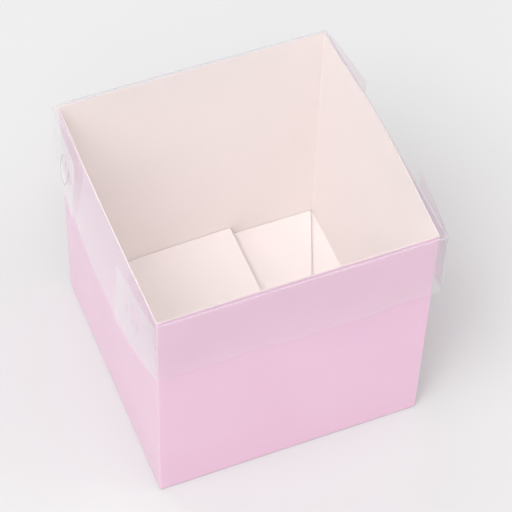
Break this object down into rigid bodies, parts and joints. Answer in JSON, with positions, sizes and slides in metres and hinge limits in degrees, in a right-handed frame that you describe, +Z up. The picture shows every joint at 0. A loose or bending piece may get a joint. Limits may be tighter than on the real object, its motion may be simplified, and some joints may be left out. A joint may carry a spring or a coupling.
{
  "type": "flower box",
  "caption": "Near-cube folding paperboard flower box, open at the top, with a snap-lock floor and a clear folded film lid that lifts off.",
  "frame": {"origin": "on the ground under the middle of the carton", "axes": "+X to the right along the front wall, +Y from the front wall to the rear wall, +Z up through the open top"},
  "size_m": [0.1242, 0.1214, 0.1226],
  "materials": {
    "carton_board": "satin pink print outside, uncoated warm white inside",
    "floor_board": "uncoated warm white board",
    "lid_film": "clear gloss film"
  },
  "bodies": {
    "carton": {"front_wall": "carton_board", "rear_wall": "carton_board", "left_wall": "carton_board", "right_wall": "carton_board", "glue_flap": "floor_board"},
    "right_floor": {"floor_flap_right": "floor_board", "floor_lock_tongue": "floor_board"},
    "rear_floor": {"floor_flap_rear": "floor_board"},
    "front_floor": {"floor_flap_front": "floor_board"},
    "left_floor": {"floor_flap_left": "floor_board"},
    "lid": {"lid_top": "lid_film", "lid_skirt_left": "lid_film", "lid_skirt_right": "lid_film"},
    "lid_front": {"lid_skirt_front": "lid_film"},
    "lid_rear": {"lid_skirt_rear": "lid_film"},
    "corner_front_left": {"lid_corner_flap_front_left": "lid_film"},
    "corner_front_right": {"lid_corner_flap_front_right": "lid_film"},
    "corner_rear_left": {"lid_corner_flap_rear_left": "lid_film"},
    "corner_rear_right": {"lid_corner_flap_rear_right": "lid_film"},
    "lock_front_left": {"lid_lock_tongue_front_left": "lid_film"},
    "lock_front_right": {"lid_lock_tongue_front_right": "lid_film"},
    "lock_rear_left": {"lid_lock_tongue_rear_left": "lid_film"},
    "lock_rear_right": {"lid_lock_tongue_rear_right": "lid_film"}
  },
  "joints": [
    {"name": "lid_lift", "type": "slide", "parent": "carton", "child": "lid", "axis": [0, 0, 1], "range_m": [0, 0.06]},
    {"name": "front_skirt_fold", "type": "hinge", "parent": "lid", "child": "lid_front", "pos_m": [0, -0.06055, 0.12245], "axis": [-1, 0, 0], "range_deg": [0, 90]},
    {"name": "rear_skirt_fold", "type": "hinge", "parent": "lid", "child": "lid_rear", "pos_m": [0, 0.06055, 0.12245], "axis": [1, 0, 0], "range_deg": [0, 90]},
    {"name": "front_left_corner_fold", "type": "hinge", "parent": "lid_front", "child": "corner_front_left", "pos_m": [-0.06195, -0.06055, 0.12245], "axis": [0, 0, 1], "range_deg": [0, 90]},
    {"name": "front_right_corner_fold", "type": "hinge", "parent": "lid_front", "child": "corner_front_right", "pos_m": [0.06195, -0.06055, 0.12245], "axis": [0, 0, -1], "range_deg": [0, 90]},
    {"name": "rear_left_corner_fold", "type": "hinge", "parent": "lid_rear", "child": "corner_rear_left", "pos_m": [-0.06195, 0.06055, 0.12245], "axis": [0, 0, -1], "range_deg": [0, 90]},
    {"name": "rear_right_corner_fold", "type": "hinge", "parent": "lid_rear", "child": "corner_rear_right", "pos_m": [0.06195, 0.06055, 0.12245], "axis": [0, 0, 1], "range_deg": [0, 90]},
    {"name": "front_left_lock_bend", "type": "hinge", "parent": "corner_front_left", "child": "lock_front_left", "pos_m": [-0.06195, -0.04055, 0.10845], "axis": [0, 1, 0], "range_deg": [-8, 30]},
    {"name": "front_right_lock_bend", "type": "hinge", "parent": "corner_front_right", "child": "lock_front_right", "pos_m": [0.06195, -0.04055, 0.10845], "axis": [0, -1, 0], "range_deg": [-8, 30]},
    {"name": "rear_left_lock_bend", "type": "hinge", "parent": "corner_rear_left", "child": "lock_rear_left", "pos_m": [-0.06195, 0.04055, 0.10845], "axis": [0, 1, 0], "range_deg": [-8, 30]},
    {"name": "rear_right_lock_bend", "type": "hinge", "parent": "corner_rear_right", "child": "lock_rear_right", "pos_m": [0.06195, 0.04055, 0.10845], "axis": [0, -1, 0], "range_deg": [-8, 30]},
    {"name": "right_floor_fold", "type": "hinge", "parent": "carton", "child": "right_floor", "pos_m": [0.06, 0, 0], "axis": [0, -1, 0], "range_deg": [0, 90]},
    {"name": "rear_floor_fold", "type": "hinge", "parent": "carton", "child": "rear_floor", "pos_m": [0, 0.059, 0], "axis": [1, 0, 0], "range_deg": [0, 36]},
    {"name": "front_floor_fold", "type": "hinge", "parent": "carton", "child": "front_floor", "pos_m": [0, -0.059, 0], "axis": [-1, 0, 0], "range_deg": [0, 36]},
    {"name": "left_floor_fold", "type": "hinge", "parent": "carton", "child": "left_floor", "pos_m": [-0.0589, 0, 0.00185], "axis": [0, -1, 0], "range_deg": [0, 75]}
  ],
  "couplings": [
    {"joint": "rear_floor_fold", "follows": "right_floor_fold", "ratio": 0.4},
    {"joint": "front_floor_fold", "follows": "right_floor_fold", "ratio": 0.4}
  ]
}
